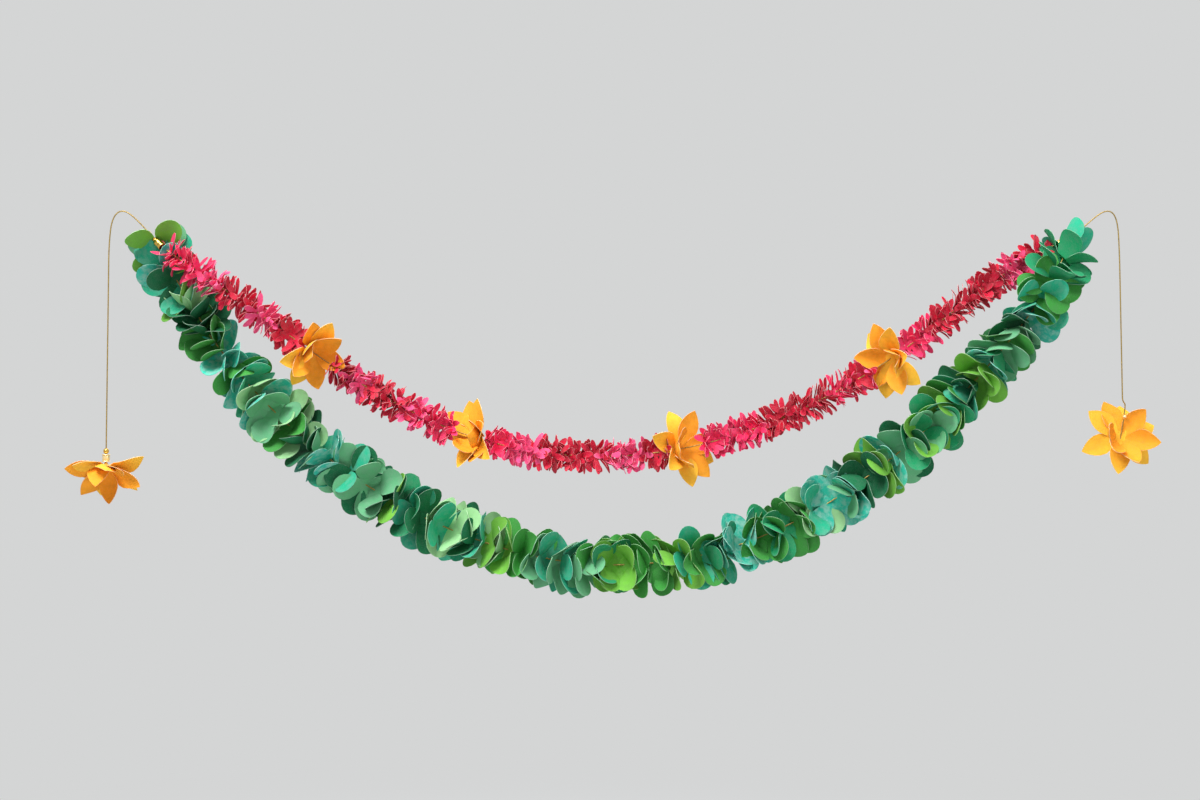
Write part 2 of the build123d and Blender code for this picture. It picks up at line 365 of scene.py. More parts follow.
class FloretSettings(bpy.types.PropertyGroup):
    per_node: IntProperty(
        name="Florets for each solid", description="Florets threaded for each one in the packed model",
        default=7, min=1, max=8)
    hub: FloatProperty(
        name="Hub", description="Half the width of the undivided middle of a floret",
        default=0.0036, subtype="DISTANCE", unit="LENGTH")
    reach: FloatProperty(
        name="Petal length", description="Length of a floret's petal beyond its fold",
        default=0.0152, subtype="DISTANCE", unit="LENGTH")
    half_width: FloatProperty(
        name="Petal half width", description="Half the width of a floret's petal",
        default=0.0029, subtype="DISTANCE", unit="LENGTH")
    paper: FloatProperty(
        name="Paper thickness", description="Thickness of the floret paper",
        default=0.0003, subtype="DISTANCE", unit="LENGTH")
    least_heading: FloatProperty(
        name="Least heading", description="Smallest angle by which a floret faces away from the viewer",
        default=radians(14), subtype="ANGLE")
    more_heading: FloatProperty(
        name="More heading", description="Further angle by which the most turned florets face away",
        default=radians(56), subtype="ANGLE")
    open_room: FloatProperty(
        name="Room before a flower", description="Distance to the nearest floret where a flower opens",
        default=0.023, subtype="DISTANCE", unit="LENGTH")
    back_room: FloatProperty(
        name="Room behind a flower", description="Distance to the nearest floret behind a flower",
        default=0.009, subtype="DISTANCE", unit="LENGTH")
    clearing_fold: FloatProperty(
        name="Fold at a flower", description="Angle that the petals of the nearest florets are folded up by",
        default=radians(38), subtype="ANGLE")
    hot_pink: FloatVectorProperty(
        name="Hot pink", description="Colour of the hot pink florets",
        default=linear(242, 44, 104), size=3, min=0, max=1, subtype="COLOR")
    rose_pink: FloatVectorProperty(
        name="Rose pink", description="Colour of the rose pink florets",
        default=linear(255, 84, 142), size=3, min=0, max=1, subtype="COLOR")
    crimson: FloatVectorProperty(
        name="Crimson", description="Colour of the crimson florets",
        default=linear(212, 16, 58), size=3, min=0, max=1, subtype="COLOR")


class FlowerSettings(bpy.types.PropertyGroup):
    hub: FloatProperty(
        name="Hub", description="Half the width of the flat middle of a flower",
        default=0.0045, subtype="DISTANCE", unit="LENGTH")
    reach: FloatProperty(
        name="Petal length", description="Length of a petal beyond its fold",
        default=0.0335, subtype="DISTANCE", unit="LENGTH")
    half_width: FloatProperty(
        name="Petal half width", description="Half the width of a petal where it is widest",
        default=0.0100, subtype="DISTANCE", unit="LENGTH")
    paper: FloatProperty(
        name="Paper thickness", description="Thickness of the flower paper",
        default=0.0004, subtype="DISTANCE", unit="LENGTH")
    outer_fold: FloatProperty(
        name="Outer fold", description="Angle that the outer petals are folded up by",
        default=radians(12), subtype="ANGLE")
    inner_fold: FloatProperty(
        name="Inner fold", description="Angle that the inner petals are folded up by",
        default=radians(32), subtype="ANGLE")
    marigold: FloatVectorProperty(
        name="Marigold", description="Colour of the flower paper",
        default=linear(255, 194, 52), size=3, min=0, max=1, subtype="COLOR")
    # Painted shade: the inner layer of each flower takes this deeper orange in place of the shade inside the
    # flower, whose paper is marigold throughout
    inner_shade_orange: FloatVectorProperty(
        name="Orange", description="Deeper colour of some flower layers",
        default=linear(252, 168, 36), size=3, min=0, max=1, subtype="COLOR")


class StageSettings(bpy.types.PropertyGroup):
    view_width: FloatProperty(
        name="View width", description="Width of the picture in the plane of the garlands",
        default=1.116, subtype="DISTANCE", unit="LENGTH")
    camera_distance: FloatProperty(
        name="Camera distance", description="Distance of the camera from the plane of the garlands",
        default=1.9, subtype="DISTANCE", unit="LENGTH")
    floor_drop: FloatProperty(
        name="Floor drop", description="Depth of the floor under the hooks",
        default=0.80, subtype="DISTANCE", unit="LENGTH")
    backdrop: FloatVectorProperty(
        name="Backdrop", description="Pale colour of the floor and of the backdrop",
        default=linear(212, 213, 213), size=3, min=0, max=1, subtype="COLOR")


class Wire:
    """A shader value that can be used in sums."""

    def __init__(self, shader, socket):
        self.shader = shader
        self.socket = socket

    def _math(self, operation, first, second):
        return self.shader.add("ShaderNodeMath", {"operation": operation}, {0: first, 1: second})

    def __add__(self, other):
        return self._math("ADD", self, other)

    def __radd__(self, other):
        return self._math("ADD", other, self)

    def __mul__(self, other):
        return self._math("MULTIPLY", self, other)

    def __rmul__(self, other):
        return self._math("MULTIPLY", other, self)


class Shader:
    """A node tree whose nodes are added one line each."""

    def __init__(self, tree):
        self.tree = tree
        self.tree.nodes.clear()

    def add(self, kind, settings=None, values=None, output=0):
        """Adds a node: its settings first, then the values or links of its sockets."""
        node = self.tree.nodes.new(kind)
        for name, value in (settings or {}).items():
            setattr(node, name, value)
        for name, value in (values or {}).items():
            if isinstance(value, Wire):
                self.tree.links.new(value.socket, node.inputs[name])
            elif isinstance(value, tuple) and len(value) == 3 and node.inputs[name].type == "RGBA":
                node.inputs[name].default_value = (*value, 1)
            else:
                node.inputs[name].default_value = value
        return Wire(self, node.outputs[output]) if len(node.outputs) else None

    def object_place(self):
        """The place that is shaded, measured from the piece's origin."""
        return self.add("ShaderNodeTexCoord", output="Object")

    def noise(self, vector, scale, detail, roughness):
        """Cloudy noise from 0 to 1, with features about 1 / scale across."""
        return self.add(
            "ShaderNodeTexNoise", {"normalize": True},
            {"Vector": vector, "Scale": scale, "Detail": detail, "Roughness": roughness})

    def steps(self, value, low, high):
        """Stretches the part of a value between low and high to the whole of 0 to 1."""
        return self.add(
            "ShaderNodeMapRange", {"clamp": True, "interpolation_type": "SMOOTHSTEP"},
            {"Value": value, "From Min": low, "From Max": high, "To Min": 0.0, "To Max": 1.0})

    def blend(self, share, first, second):
        """Mixes two colours by a share from 0 to 1."""
        return self.add(
            "ShaderNodeMix", {"data_type": "RGBA"},
            {MIX_SHARE: share, MIX_FIRST: first, MIX_SECOND: second}, output=MIXED_COLOUR)

    def bump(self, height, strength, distance):
        """A normal that follows the height, for fine relief."""
        return self.add("ShaderNodeBump", {}, {"Height": height, "Strength": strength, "Distance": distance})

    def finish(self, surface):
        """Makes this the surface of the material."""
        self.add("ShaderNodeOutputMaterial", {}, {"Surface": surface})


def new_material(name):
    """A material and the shader that its nodes are added with."""
    material = bpy.data.materials.new(name)
    material.use_nodes = True
    return material, Shader(material.node_tree)


def paper_finish(name, edge_share):
    """Matt dyed paper: fine grain, cloudy dye and a mottled wash where a sheet was painted."""
    material, shader = new_material(name)
    place = shader.object_place()
    dye = shader.add("ShaderNodeAttribute", {"attribute_name": "dye"}, output="Color")
    wash = shader.add("ShaderNodeAttribute", {"attribute_name": "wash"}, output="Fac")
    clouds = shader.noise(place, scale=160.0, detail=4.0, roughness=0.6)
    fibres = shader.noise(place, scale=2200.0, detail=2.0, roughness=0.5)
    pale = shader.blend(0.42, dye, WASH_TINT)
    mottled = shader.blend(shader.steps(clouds, low=0.38, high=0.66) * wash, dye, pale)
    soft = shader.blend(shader.steps(clouds, low=0.30, high=0.75) * 0.16, mottled, SHADE_TINT)
    grained = shader.blend(shader.steps(fibres, low=0.45, high=0.75) * 0.07, soft, GRAIN_TINT)
    colour = shader.blend(edge_share, grained, CUT_EDGE_TINT) if edge_share else grained
    surface = shader.add("ShaderNodeBsdfPrincipled", {}, {
        "Base Color": colour,
        "Roughness": 0.62 + fibres * 0.2,
        "Specular IOR Level": 0.15,
        "Normal": shader.bump(fibres, strength=0.25, distance=0.00012),
    })
    shader.finish(surface)
    return material


def paper_finishes(kind, edge_share):
    """The finishes of one kind of paper, on its faces and on its paler cut edge."""
    return paper_finish(f"{kind}_paper", 0.0), paper_finish(f"{kind}_paper_edge", edge_share)


def plated_finish(name, colour, roughness, metallic):
    """Plated or glossy metal with faint handling marks."""
    material, shader = new_material(name)
    marks = shader.noise(shader.object_place(), scale=900.0, detail=3.0, roughness=0.6)
    dull = tuple(channel * 0.6 for channel in colour)
    surface = shader.add("ShaderNodeBsdfPrincipled", {}, {
        "Base Color": shader.blend(marks * 0.25, colour, dull),
        "Metallic": metallic,
        "Roughness": roughness + marks * 0.16,
        "Normal": shader.bump(marks, strength=0.08, distance=0.0001),
    })
    shader.finish(surface)
    return material


def thread_finish(name, colour):
    """Metallic thread, with painted glints on its plies and painted shade between the glints."""
    material, shader = new_material(name)
    glints = shader.noise(shader.object_place(), scale=2600.0, detail=2.0, roughness=0.5)
    # Painted highlight and shade: the colour is lighter on the glints of the plies and deeper between them
    ply_shade_colour = tuple(channel * 0.45 for channel in colour)
    surface = shader.add("ShaderNodeBsdfPrincipled", {}, {
        "Base Color": shader.blend(shader.steps(glints, low=0.40, high=0.62), ply_shade_colour, colour),
        "Metallic": 0.75,
        "Roughness": 0.34 + glints * 0.2,
        "Normal": shader.bump(glints, strength=0.5, distance=0.0003),
    })
    shader.finish(surface)
    return material


class Line:
    """The line of a cord, read from its own spline, to thread pieces on."""

    def __init__(self, curve_object):
        mesh = bpy.data.meshes.new_from_object(curve_object)
        self.points = [vertex.co.copy() for vertex in mesh.vertices]
        bpy.data.meshes.remove(mesh)
        self.distances = [0.0]
        for before, after in zip(self.points, self.points[1:]):
            self.distances.append(self.distances[-1] + (after - before).length)
        self.length = self.distances[-1]

    def at(self, distance):
        """The point at a distance along the line, and the line's direction there."""
        index = 1
        while index < len(self.distances) - 1 and self.distances[index] < distance:
            index += 1
        before, after = self.points[index - 1], self.points[index]
        share = (distance - self.distances[index - 1]) / (self.distances[index] - self.distances[index - 1])
        return before.lerp(after, share), (after - before).normalized()

    def nearest(self, point):
        """The distance along the line at which it passes nearest to a point."""
        return min(zip(self.points, self.distances), key=lambda pair: (pair[0] - point).length)[1]


def threading_place(line, distance, turn=0.0, facing=0.0, sway=0.0, backwards=False):
    """The matrix of a piece threaded on a line: it opens along the line, or faces to the front of it."""
    point, along = line.at(distance)
    if backwards:
        along = -along
    across = along.cross(Vector((0, -1, 0))).normalized()
    place = Matrix((across, along.cross(across), along)).transposed().to_4x4()
    place = Matrix.Rotation(sway, 4, "Y") @ Matrix.Rotation(facing, 4, across) @ place
    place.translation = point
    return place @ Matrix.Rotation(turn, 4, "Z")


def fit(piece, node):
    """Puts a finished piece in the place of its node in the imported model."""
    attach(piece, "root")
    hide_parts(node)


def hang_cord(node, route, material):
    """A cord on one smooth spline with the route's points, and its line for threading."""
    settings = bpy.context.scene.toran_cord
    name = f"{node}_thread"
    curve = bpy.data.curves.new(name, "CURVE")
    curve.dimensions = "3D"
    curve.resolution_u = 24
    spline = curve.splines.new("NURBS")
    spline.points.add(len(route) - 1)
    for spline_point, point in zip(spline.points, route):
        spline_point.co = (*point, 1)
    spline.order_u = 3
    spline.use_endpoint_u = True
    cord = bpy.data.objects.new(name, curve)
    bpy.context.scene.collection.objects.link(cord)
    bpy.context.view_layer.update()
    CORDS[node] = Line(cord)
    curve.bevel_depth = settings.diameter / 2
    curve.bevel_resolution = 3
    curve.use_fill_caps = True
    curve.materials.append(material)
    fit(cord, node)
    return cord


def cut_outline(settings, neck, widest, blunt, power):
    """Outline of a lobe: from its neck to where it is widest, then round or pointed at its tip."""
    reach = settings.reach
    half_width = settings.half_width

    def cut(along, across):
        if along < widest:
            half = neck + (half_width - neck) * sin(pi / 2 * along / widest)
            setback = 0.0
        else:
            past = (along - widest) / (1 - widest)
            half = half_width * (1 - (blunt * past) ** 2) ** power
            setback = (1 - widest) * (1 - blunt) * past ** 6 * across ** 2
        return reach * (along - setback), half * across
    return cut


def paper_bend(settings, fold, curl, cup, twist):
    """Folds a flat lobe up at the hub's edge, curls it along, cups it across and twists it."""
    hub = settings.hub
    reach = settings.reach
    half_width = settings.half_width

    def bend(x, y):
        share = x / reach
        angle = fold + curl * share
        if abs(curl) > 1e-3:
            radius = reach / curl
            out = radius * (sin(angle) - sin(fold))
            rise = radius * (cos(fold) - cos(angle))
        else:
            out = x * cos(fold)
            rise = x * sin(fold)
        lift = cup * y * y / half_width * min(1.0, 3 * share) + y * sin(twist * share)
        side = y * cos(twist * share)
        return Vector((hub + out - lift * sin(angle), side, rise + lift * cos(angle)))
    return bend


def stray(draw, most):
    """A random amount either way, up to the most that is given."""
    return draw.uniform(-most, most)


def strayed_bend(draw, settings, fold, strays):
    """The bend of one lobe, which strays from those of the others."""
    return paper_bend(
        settings, fold + radians(stray(draw, strays.fold)), radians(draw.uniform(*strays.curls)),
        draw.uniform(*strays.cups), radians(stray(draw, strays.twist)))


def next_heading(draw, heading, step):
    """A heading that strays by up to a step from the one before, and stays between -1 and 1."""
    return min(1.0, max(-1.0, heading + stray(draw, step)))


def facing_of(settings, heading):
    """The angle from the cord's direction at which a rosette opens, where 90 degrees is to the viewer."""
    return pi / 2 + copysign(settings.least_heading, heading) + settings.more_heading * heading


def lobe(bm, grid, cut, bend, wrap):
    """One lobe of cut paper: a grid that is cut to its outline, then folded and curled."""
    verts = bmesh.ops.create_grid(bm, x_segments=grid[0], y_segments=grid[1], size=0.5)["verts"]
    for vertex in verts:
        along = sin(pi / 2 * (vertex.co.x + 0.5))
        x, y = cut(along, 2 * vertex.co.y)
        vertex.co = bend(x, y)
    bmesh.ops.transform(bm, matrix=wrap, verts=verts)
    return verts


def rosette(bm, place, hub, grid, cut, bends):
    """Lobes round a flat hub, cut from one piece of paper, with one lobe for each bend."""
    lobes = len(bends)
    made = []
    for index, bend in enumerate(bends):
        wrap = Matrix.Rotation(2 * pi * index / lobes, 4, "Z")
        made += lobe(bm, grid, cut, bend, wrap)
    made += bmesh.ops.create_circle(
        bm, cap_ends=True, radius=hub / cos(pi / lobes), segments=lobes,
        matrix=Matrix.Rotation(pi / lobes, 4, "Z"))["verts"]
    bmesh.ops.remove_doubles(bm, verts=made, dist=0.00002)
    made = [vertex for vertex in made if vertex.is_valid]
    bmesh.ops.transform(bm, matrix=place, verts=made)
    return made


def paint(bm, verts, dye, tone, wash):
    """Notes the paper's colour on a rosette, lighter or darker by its tone, and how mottled its wash is."""
    dye_layer = bm.verts.layers.float_color["dye"]
    wash_layer = bm.verts.layers.float["wash"]
    colour = [min(1, channel * tone) for channel in dye]
    for vertex in verts:
        vertex[dye_layer] = (*colour, 1)
        vertex[wash_layer] = wash


def paper_mesh():
    """An empty mesh that can note the colour and the wash of its paper."""
    bm = bmesh.new()
    bm.verts.layers.float_color.new("dye")
    bm.verts.layers.float.new("wash")
    return bm


def mesh_object(name, bm, materials):
    """The object of a finished mesh, at the origin."""
    mesh = bpy.data.meshes.new(name)
    bm.to_mesh(mesh)
    bm.free()
    for material in materials:
        mesh.materials.append(material)
    made = bpy.data.objects.new(name, mesh)
    bpy.context.scene.collection.objects.link(made)
    return made


def paper_piece(name, bm, node, thickness, finishes):
    """The object of one bunch of paper, with the paper's thickness and its pale cut edge."""
    for edge in bm.edges:
        if edge.is_boundary:
            edge.smooth = False
    for face in bm.faces:
        face.smooth = True
    piece = mesh_object(name, bm, finishes)
    sheet = piece.modifiers.new("Paper", "SOLIDIFY")
    sheet.thickness = thickness
    sheet.offset = 0.0
    sheet.material_offset_rim = 1
    fit(piece, node)


def turned_piece(name, profile, place, material, node):
    """A turned piece: its profile of (radius, height) spun round the cord."""
    bm = bmesh.new()
    verts = [bm.verts.new((radius, 0, height)) for radius, height in profile]
    edges = [bm.edges.new(pair) for pair in zip(verts, verts[1:])]
    bmesh.ops.spin(
        bm, geom=verts + edges, cent=(0, 0, 0), axis=(0, 0, 1),
        angle=2 * pi, steps=32, use_merge=True, use_duplicate=False)
    bmesh.ops.remove_doubles(bm, verts=bm.verts, dist=0.000005)
    bmesh.ops.recalc_face_normals(bm, faces=bm.faces)
    for face in bm.faces:
        face.smooth = True
    for edge in bm.edges:
        if len(edge.link_faces) == 2 and edge.calc_face_angle() > radians(35):
            edge.smooth = False
    bmesh.ops.transform(bm, matrix=place, verts=bm.verts)
    fit(mesh_object(name, bm, [material]), node)


def box_centre(node):
    """The middle of a node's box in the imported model."""
    low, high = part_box(node)
    return (low + high) / 2


class TORAN_OT_stage(bpy.types.Operator):
    """Sets up the camera, the soft lamps, the floor and the pale backdrop"""
    bl_idname = "toran.stage"
    bl_label = "Stage"

    def execute(self, context):
        scene = context.scene
        settings = scene.toran_stage
        camera_data = bpy.data.cameras.new("front_camera")
        camera_data.sensor_width = 36.0
        camera_data.lens = camera_data.sensor_width * settings.camera_distance / settings.view_width
        camera = bpy.data.objects.new("front_camera", camera_data)
        camera.location = VIEW_CENTRE - Vector((0, settings.camera_distance, 0))
        camera.rotation_euler = (pi / 2, 0, 0)
        scene.collection.objects.link(camera)
        scene.camera = camera

        for name, offset, size, power in LAMPS:
            lamp_data = bpy.data.lights.new(name, "AREA")
            lamp_data.size = size
            lamp_data.energy = power
            lamp = bpy.data.objects.new(name, lamp_data)
            lamp.location = VIEW_CENTRE + Vector(offset)
            lamp.rotation_euler = (-Vector(offset)).to_track_quat("-Z", "Y").to_euler()
            scene.collection.objects.link(lamp)

        backdrop = tuple(settings.backdrop)
        world = bpy.data.worlds.new("pale_room")
        world.use_nodes = True
        scene.world = world
        shader = Shader(world.node_tree)
        seen = shader.add("ShaderNodeLightPath").socket.node.outputs
        direct, mirrored, passed = (
            Wire(shader, seen[name]) for name in ("Is Camera Ray", "Is Glossy Ray", "Is Transmission Ray"))
        room = shader.add("ShaderNodeBackground", {}, {"Color": ROOM_COLOUR, "Strength": ROOM_STRENGTH})
        shown = shader.add("ShaderNodeBackground", {}, {"Color": backdrop, "Strength": 1.0})
        share = shader.add("ShaderNodeMath", {"operation": "MAXIMUM"}, {0: direct, 1: mirrored})
        share = shader.add("ShaderNodeMath", {"operation": "MAXIMUM"}, {0: share, 1: passed})
        surface = shader.add("ShaderNodeMixShader", {}, {0: share, 1: room, 2: shown})
        shader.add("ShaderNodeOutputWorld", {}, {"Surface": surface})

        bm = bmesh.new()
        bmesh.ops.create_circle(bm, cap_ends=True, radius=FLOOR_RADIUS, segments=64)
        drop = Vector((VIEW_CENTRE.x, VIEW_CENTRE.y, -settings.floor_drop))
        bmesh.ops.translate(bm, vec=drop, verts=bm.verts)
        material, shader = new_material("pale_floor")
        matt = shader.add("ShaderNodeBsdfPrincipled", {}, {"Base Color": backdrop, "Roughness": 0.9})
        even = shader.add("ShaderNodeEmission", {}, {"Color": backdrop, "Strength": 1.0})
        centred = shader.add(
            "ShaderNodeMapping", {"vector_type": "POINT"},
            {"Vector": shader.object_place(), "Location": tuple(-drop)})
        far = shader.add("ShaderNodeVectorMath", {"operation": "LENGTH"}, {0: centred}, output="Value")
        share = shader.steps(far, *FLOOR_FADE)
        shader.finish(shader.add("ShaderNodeMixShader", {}, {0: share, 1: matt, 2: even}))
        mesh_object("floor", bm, [material])
        return {"FINISHED"}


class TORAN_OT_cords(bpy.types.Operator):
    """Hangs the two strand cords and the two hanging cords"""
    bl_idname = "toran.cords"
    bl_label = "Cords"

    def execute(self, context):
        settings = context.scene.toran_cord
        thread = thread_finish("gold_thread", tuple(settings.colour))
        half_crimp = settings.crimp_length / 2
        leaving = {}
        centres = {}
        for side, hook_x, tail_route in (("left", 0.0, LEFT_TAIL_ROUTE), ("right", SPAN, RIGHT_TAIL_ROUTE)):
            route = [Vector(point) + Vector((hook_x, 0, 0)) for point in tail_route]
            centres[side] = route[0].copy()
            leaving[side] = (route[1] - route[0]).normalized()
            route[0] = route[0] + leaving[side] * half_crimp
            cord = hang_cord(f"{side}_tail_cord", route, thread)
            cord["start"] = tuple(route[0])
        across = centres["right"] - centres["left"]
        for strand, shares, sag, side in (
            ("green", GREEN_ROUTE_SHARES, GREEN_SAG, 1),
            ("pink", PINK_ROUTE_SHARES, PINK_SAG, -1),
        ):
            offset = Vector((0, side * STRAND_PAIR_OFFSET, 0))
            left_face = centres["left"] - leaving["left"] * half_crimp + offset
            right_face = centres["right"] - leaving["right"] * half_crimp - offset
            route = [left_face, left_face - leaving["left"] * STRAND_LEAD]
            for across_share, depth_share, sag_share in shares:
                sideways = Vector((0, STRAND_DEPTH * depth_share, -sag * sag_share))
                route.append(centres["left"] + across * across_share + sideways)
            route += [right_face - leaving["right"] * STRAND_LEAD, right_face]
            hang_cord(f"{strand}_strand_cord", route, thread)
        return {"FINISHED"}


class TORAN_OT_findings(bpy.types.Operator):
    """Makes the crimps, the bell-shaped cord ends and the beads"""
    bl_idname = "toran.findings"
    bl_label = "Crimps and beads"

    def execute(self, context):
        settings = context.scene.toran_metal
        gold = plated_finish("plated_gold", tuple(settings.gold), roughness=0.16, metallic=1.0)
        pale = plated_finish("pale_gold_gloss", tuple(settings.pale_gold), roughness=0.2, metallic=0.55)
        bore = context.scene.toran_cord.diameter / 2

        # Each profile is pairs of radius and height
        half = context.scene.toran_cord.crimp_length / 2
        crimp_profile = [
            (bore, -half), (0.0014, -half), (0.0018, -half + 0.0005), (0.00165, -0.0003),
            (0.00165, 0.0003), (0.0018, half - 0.0005), (0.0014, half), (bore, half)]
        for side, route in (("left", LEFT_TAIL_ROUTE), ("right", RIGHT_TAIL_ROUTE)):
            along = (Vector(route[1]) - Vector(route[0])).normalized()
            place = along.to_track_quat("Z", "Y").to_matrix().to_4x4()
            place.translation = box_centre(f"{side}_crimp")
            turned_piece(f"{side}_crimp_sleeve", crimp_profile, place, gold, f"{side}_crimp")

        size = settings.bell_length
        bell_profile = [
            (bore, 0.0002), (0.0016, 0.0), (0.0024, 0.0005), (0.0025, 0.0011), (0.0019, 0.0016),
            (0.0019, 0.0024), (0.0026, 0.0031), (0.0036, 0.0037), (0.00385, 0.0047),
            (0.0038, 0.62 * size), (0.0036, 0.68 * size), (0.0038, 0.74 * size), (0.0039, 0.96 * size),
            (0.0037, size), (0.0033, 0.97 * size), (0.0031, 0.74 * size), (0.0030, 0.45 * size),
            (bore, 0.42 * size)]
        pink = CORDS["pink_strand_cord"]
        left_place = threading_place(pink, BELL_PLACE)
        right_place = threading_place(pink, pink.length - BELL_PLACE, backwards=True)
        turned_piece("left_bell", bell_profile, left_place, gold, "left_bell_bead")
        turned_piece("right_bell", bell_profile, right_place, gold, "right_bell_bead")

        def round_profile(radius, half_length):
            """The profile of a round bead, flat where the cord enters and leaves it."""
            steps = 10
            face = 0.96 * half_length
            profile = [(bore, -face)]
            for step in range(1, steps):
                angle = pi * step / steps
                profile.append((max(bore, radius * sin(angle)), -half_length * cos(angle)))
            return profile + [(bore, face)]

        barrel = [
            (bore, -0.0033), (0.0026, -0.0034), (0.0038, -0.0034), (0.0040, -0.0031), (0.0038, -0.0027),
            (0.0033, -0.0025), (0.0035, -0.0012), (0.00355, 0.0), (0.0035, 0.0012), (0.0033, 0.0025),
            (0.0038, 0.0027), (0.0040, 0.0031), (0.0038, 0.0034), (0.0026, 0.0034), (bore, 0.0033)]
        small = round_profile(radius=0.0018, half_length=0.0016)
        for side, bead, profile, finish in (
            ("left", "round_bead", round_profile(radius=0.0027, half_length=0.0027), gold),
            ("left", "barrel_bead", barrel, pale),
            ("left", "small_bead", small, gold),
            ("left", "stop_bead", small, gold),
            ("right", "upper_bead", round_profile(radius=0.0019, half_length=0.0016), pale),
            ("right", "middle_bead", small, gold),
            ("right", "lower_bead", small, gold),
        ):
            node = f"{side}_{bead}"
            line = CORDS[f"{side}_tail_cord"]
            place = threading_place(line, line.nearest(box_centre(node)))
            place.translation = box_centre(node)
            turned_piece(f"{node}_turned", profile, place, finish, node)
        return {"FINISHED"}


class TORAN_OT_leaves(bpy.types.Operator):
    """Threads the green leaf rosettes in bunches on the lower strand"""
    bl_idname = "toran.leaves"
    bl_label = "Leaf rosettes"

    def execute(self, context):
        settings = context.scene.toran_leaf
        draw = random.Random(LEAF_SEED)
        papers = {name: (tuple(getattr(settings, name)), wash) for name, wash, _ in LEAF_PAPERS}
        names = list(papers)
        weights = [weight for _, _, weight in LEAF_PAPERS]
        finishes = paper_finishes("leaf", edge_share=0.2)
        line = CORDS["green_strand_cord"]
        pitch = (line.length - LEAF_LEFT_GAP - LEAF_RIGHT_GAP) / (LEAF_COUNT - 1)
        neck = settings.hub * tan(pi / LEAF_LOBES)
        cut = cut_outline(settings, neck, widest=0.56, blunt=0.95, power=0.5)
        heading = 0.0
        nest = 0
        for number, first in enumerate(range(0, LEAF_COUNT, LEAF_BUNCH), 1):
            bm = paper_mesh()
            last = min(first + LEAF_BUNCH, LEAF_COUNT)
            for index in range(first * settings.per_node, last * settings.per_node):
                place = (index + 0.5) / settings.per_node - 0.5
                if nest == 0:
                    nest = draw.randint(*LEAF_NEST_COUNTS)
                    nest_turn = radians(LEAF_NEST_TURN + stray(draw, LEAF_NEST_TURN_STRAY))
                    fold = draw.uniform(settings.shallow_fold, settings.deep_fold)
                    sway = radians(stray(draw, LEAF_NEST_SWAY_STRAY))
                    paper = draw.choices(names, weights)[0]
                nest -= 1
                if draw.random() < LEAF_OWN_PAPER_CHANCE:
                    paper = draw.choices(names, weights)[0]
                heading = next_heading(draw, heading, LEAF_HEADING_STEP)
                turn = nest_turn + radians(stray(draw, LEAF_TURN_STRAY))
                end_share = max(0.0, 1.0 - (LEAF_COUNT - 1 - place) / LEAF_END_PLACES)
                facing = facing_of(settings, heading) * (1 - end_share) + LEAF_END_FACING * end_share
                if place < 0.5:
                    paper = LEAF_START_PAPERS[index % len(LEAF_START_PAPERS)]
                    turn = LEAF_START_TURN + radians(stray(draw, LEAF_START_TURN_STRAY))
                    facing = LEAF_START_FACING
                    fold = settings.shallow_fold
                bends = []
                for lobe_index in range(LEAF_LOBES):
                    frontal = -sin(turn + 2 * pi * lobe_index / LEAF_LOBES) * cos(facing)
                    lobe_fold = fold + settings.front_fold * frontal
                    bends.append(strayed_bend(draw, settings, lobe_fold, LEAF_STRAYS))
                distance = LEAF_LEFT_GAP + pitch * place
                own_sway = sway + radians(stray(draw, LEAF_SWAY_STRAY))
                matrix = threading_place(line, distance, turn, facing, own_sway)
                made = rosette(bm, matrix, settings.hub, LEAF_GRID, cut, bends)
                dye, wash = papers[paper]
                paint(bm, made, dye, draw.uniform(*LEAF_TONES), wash)
            node = f"green_bunch_{number:02d}"
            paper_piece(f"green_leaves_{number:02d}", bm, node, settings.paper, finishes)
        return {"FINISHED"}


